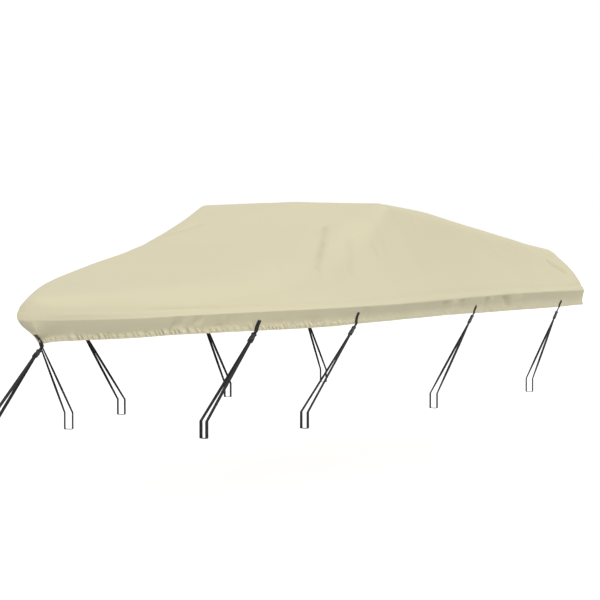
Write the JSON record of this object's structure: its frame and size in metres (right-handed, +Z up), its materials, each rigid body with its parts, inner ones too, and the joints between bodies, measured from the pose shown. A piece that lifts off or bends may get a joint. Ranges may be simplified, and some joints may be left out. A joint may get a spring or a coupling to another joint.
{
  "type": "boat cover",
  "caption": "Fitted, hollow boat cover in coated cloth: a raised ridge across its top, a turned-in skirt with a gathered hem, and webbing tie-downs with side release buckles.",
  "frame": {"origin": "underside of the cloth, in the middle of the highest line of the cover", "axes": "+X from the pointed front end to the square back end, +Y to starboard, +Z up"},
  "size_m": [5.6929, 2.3, 1.4138],
  "materials": {
    "cover_fabric": "matt coated polyester, sand coloured",
    "webbing": "black woven polypropylene webbing",
    "buckle_plastic": "black moulded acetal, lightly grained"
  },
  "bodies": {
    "root": {"cover_cloth": "cover_fabric", "strap_tab_port_1": "webbing", "strap_tab_port_2": "webbing", "strap_tab_port_3": "webbing", "strap_tab_port_4": "webbing", "strap_tab_starboard_1": "webbing", "strap_tab_starboard_2": "webbing", "strap_tab_starboard_3": "webbing", "strap_tab_starboard_4": "webbing", "strap_tab_front": "webbing", "buckle_socket_port_1": "buckle_plastic", "buckle_socket_port_2": "buckle_plastic", "buckle_socket_port_3": "buckle_plastic", "buckle_socket_port_4": "buckle_plastic", "buckle_socket_starboard_1": "buckle_plastic", "buckle_socket_starboard_2": "buckle_plastic", "buckle_socket_starboard_3": "buckle_plastic", "buckle_socket_starboard_4": "buckle_plastic", "buckle_socket_front": "buckle_plastic", "buckle_plug_port_1": "buckle_plastic", "buckle_plug_port_2": "buckle_plastic", "buckle_plug_port_3": "buckle_plastic", "buckle_plug_port_4": "buckle_plastic", "buckle_plug_starboard_1": "buckle_plastic", "buckle_plug_starboard_2": "buckle_plastic", "buckle_plug_starboard_3": "buckle_plastic", "buckle_plug_starboard_4": "buckle_plastic", "buckle_plug_front": "buckle_plastic", "strap_loop_port_1": "webbing", "strap_loop_port_2": "webbing", "strap_loop_port_3": "webbing", "strap_loop_port_4": "webbing", "strap_loop_starboard_1": "webbing", "strap_loop_starboard_2": "webbing", "strap_loop_starboard_3": "webbing", "strap_loop_starboard_4": "webbing", "strap_loop_front": "webbing"}
  },
  "joints": []
}
